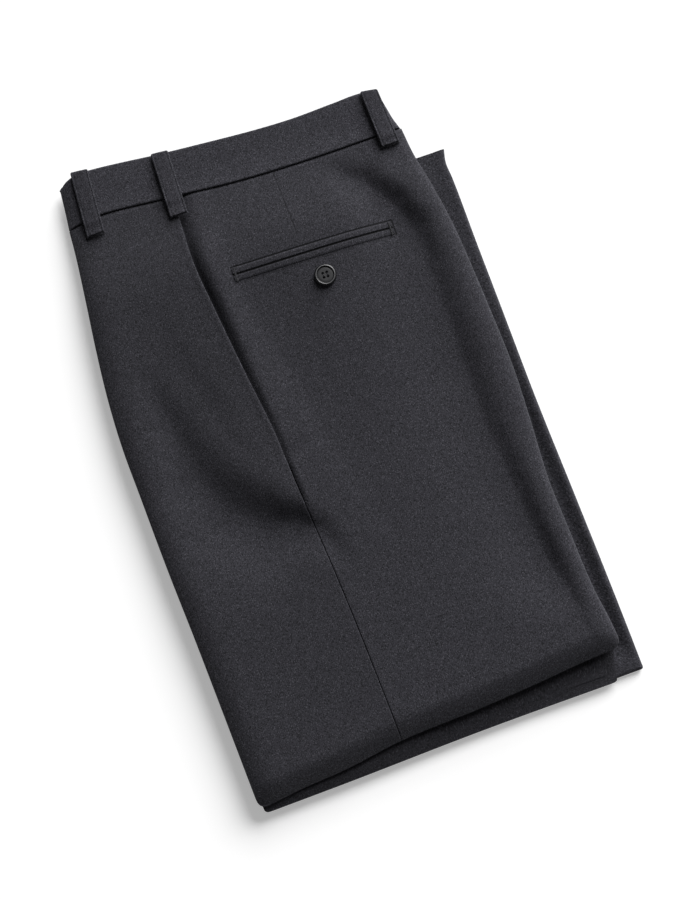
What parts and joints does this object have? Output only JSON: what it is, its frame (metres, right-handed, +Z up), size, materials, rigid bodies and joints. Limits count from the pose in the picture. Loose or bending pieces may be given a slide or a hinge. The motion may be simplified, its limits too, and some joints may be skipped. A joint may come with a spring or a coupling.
{
  "type": "folded tapered dress trousers",
  "caption": "Charcoal tapered dress trousers, folded leg on leg and turned under once, lying flat with waistband, belt loops and a buttoned welt back pocket on show.",
  "frame": {"origin": "centre of the bounding box at the surface that the folded trousers lie on", "axes": "+Y from the turned legs to the waistband, +X from the front creases to the seat, +Z up from the surface"},
  "size_m": [0.3373, 0.5385, 0.0271],
  "materials": {
    "suiting": "matte fine heathered wool-blend suiting, charcoal",
    "button": "satin dark four-hole shirt-style button with a raised rim"
  },
  "bodies": {
    "root": {"front_panel": "suiting", "back_panel": "suiting", "waistband": "suiting", "waistband_far_half": "suiting", "belt_loop_front": "suiting", "belt_loop_side": "suiting", "belt_loop_back": "suiting", "pocket_welt_upper": "suiting", "pocket_welt_lower": "suiting", "pocket_button": "button", "lower_legs": "suiting", "hem_turn_up": "suiting", "hidden_layers": "suiting"}
  },
  "joints": []
}
